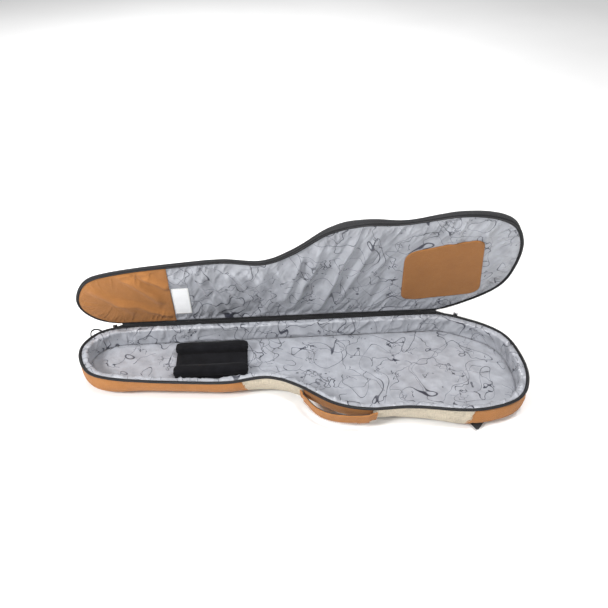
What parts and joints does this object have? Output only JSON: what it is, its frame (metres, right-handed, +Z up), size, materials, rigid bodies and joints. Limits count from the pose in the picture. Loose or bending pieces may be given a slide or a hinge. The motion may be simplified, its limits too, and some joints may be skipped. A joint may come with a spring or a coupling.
{
  "type": "padded gig bag",
  "caption": "Padded gig bag for a long-scale bass: lined tub with neck cradle, hinged lid, zip, carry handle, hang loop and stowed shoulder straps.",
  "frame": {"origin": "underside of the spine pad, on the floor plane and the centreline of the instrument, 0.603 m from the body end", "axes": "+X towards the body end along the hinged side, +Y towards the hinged side, +Z up, out of the open tub"},
  "size_m": [1.2076, 0.4275, 0.4607],
  "materials": {
    "tan": "tan woven polyester canvas",
    "linen": "light linen-coloured woven canvas",
    "charcoal": "charcoal woven nylon",
    "black": "black webbing and piping",
    "lining": "grey satin with a dark line print",
    "foam": "dark foam padding",
    "label": "white woven label",
    "metal": "dark nickel zip slider",
    "buckle": "black moulded buckle"
  },
  "bodies": {
    "tub": {"head_end_panel": "tan", "neck_side_panel": "linen", "handle_panel": "tan", "body_side_panel": "linen", "body_end_panel": "tan", "hinge_side_panel": "tan", "underside_panel": "charcoal", "floor_foam": "foam", "wall_foam": "foam", "floor_lining": "lining", "wall_lining": "lining", "tub_binding": "black", "tub_zip_tape": "black", "hinge_tape_tub": "black", "hinge_cord": "black", "spine_pad": "black", "neck_pad": "black", "cradle_base": "black", "cradle_cheek_front": "black", "cradle_cheek_rear": "black", "handle_anchor_head": "tan", "handle_anchor_body": "tan", "front_strap_anchor": "black", "rear_strap_anchor": "black", "strap_tab_front": "black", "strap_tab_rear": "black"},
    "lid": {"lid_gusset": "charcoal", "lid_binding": "black", "lid_zip_tape": "black", "hinge_tape_lid": "black", "lid_outer_panel": "linen", "lid_foam": "foam", "lid_lining": "lining", "headstock_patch": "tan", "bridge_patch": "tan", "sewn_label": "label", "body_pocket_panel": "tan", "body_pocket_zip": "black", "neck_pocket_panel": "tan", "neck_pocket_zip": "black"},
    "handle": {"handle_strap": "tan", "handle_lining": "black"},
    "loop": {"hang_loop": "black"},
    "head_slider": {"head_slider_body": "metal"},
    "head_pull": {"head_slider_pull": "black"},
    "body_slider": {"body_slider_body": "metal"},
    "body_pull": {"body_slider_pull": "black"},
    "body_pocket_runner": {"body_pocket_slider": "metal"},
    "body_pocket_tab": {"body_pocket_pull": "black"},
    "neck_pocket_runner": {"neck_pocket_slider": "metal"},
    "neck_pocket_tab": {"neck_pocket_pull": "black"},
    "front_strap": {"front_strap_pad": "charcoal", "front_strap_buckle": "buckle", "front_strap_webbing": "black"},
    "rear_strap": {"rear_strap_pad": "charcoal", "rear_strap_buckle": "buckle", "rear_strap_webbing": "black"}
  },
  "joints": [
    {"name": "lid_hinge", "type": "hinge", "parent": "tub", "child": "lid", "pos_m": [0, 0.13, 0.0774], "axis": [1, 0, 0], "range_deg": [-104, 76]},
    {"name": "handle_swing", "type": "hinge", "parent": "tub", "child": "handle", "pos_m": [0.08045, -0.20718, 0.0504], "axis": [0.8912, -0.4537, 0], "range_deg": [-20, 20]},
    {"name": "loop_swing", "type": "hinge", "parent": "tub", "child": "loop", "pos_m": [-0.56731, 0.1001, 0.0634], "axis": [-0.7805, -0.6251, 0], "range_deg": [-40, 40]},
    {"name": "head_slider_run", "type": "slide", "parent": "tub", "child": "head_slider", "axis": [-0.9768, -0.2142, 0], "range_m": [0, 0.01]},
    {"name": "head_pull_swing", "type": "hinge", "parent": "head_slider", "child": "head_pull", "pos_m": [-0.52128, 0.13064, 0.0764], "axis": [0.9768, 0.2142, 0], "range_deg": [0, 100]},
    {"name": "body_slider_run", "type": "slide", "parent": "tub", "child": "body_slider", "axis": [0.9026, -0.4305, 0], "range_m": [0, 0.04]},
    {"name": "body_pull_swing", "type": "hinge", "parent": "body_slider", "child": "body_pull", "pos_m": [0.46606, 0.11558, 0.0764], "axis": [0.9026, -0.4305, 0], "range_deg": [0, 100]},
    {"name": "body_pocket_run", "type": "slide", "parent": "lid", "child": "body_pocket_runner", "axis": [-1, 0, 0], "range_m": [0, 0.38]},
    {"name": "body_pocket_tab_swing", "type": "hinge", "parent": "body_pocket_runner", "child": "body_pocket_tab", "pos_m": [0.47, 0.1452, 0.176], "axis": [1, 0, 0], "range_deg": [0, 150]},
    {"name": "neck_pocket_run", "type": "slide", "parent": "lid", "child": "neck_pocket_runner", "axis": [-1, 0, 0], "range_m": [0, 0.26]},
    {"name": "neck_pocket_tab_swing", "type": "hinge", "parent": "neck_pocket_runner", "child": "neck_pocket_tab", "pos_m": [-0.23, 0.1452, 0.176], "axis": [1, 0, 0], "range_deg": [0, 150]},
    {"name": "front_strap_swing", "type": "hinge", "parent": "tub", "child": "front_strap", "pos_m": [-0.055, -0.036, 0.00385], "axis": [0.3256, 0.9455, 0], "range_deg": [0, 110]},
    {"name": "rear_strap_swing", "type": "hinge", "parent": "tub", "child": "rear_strap", "pos_m": [-0.055, 0.052, 0.00385], "axis": [-0.0785, 0.9969, 0], "range_deg": [0, 110]}
  ]
}
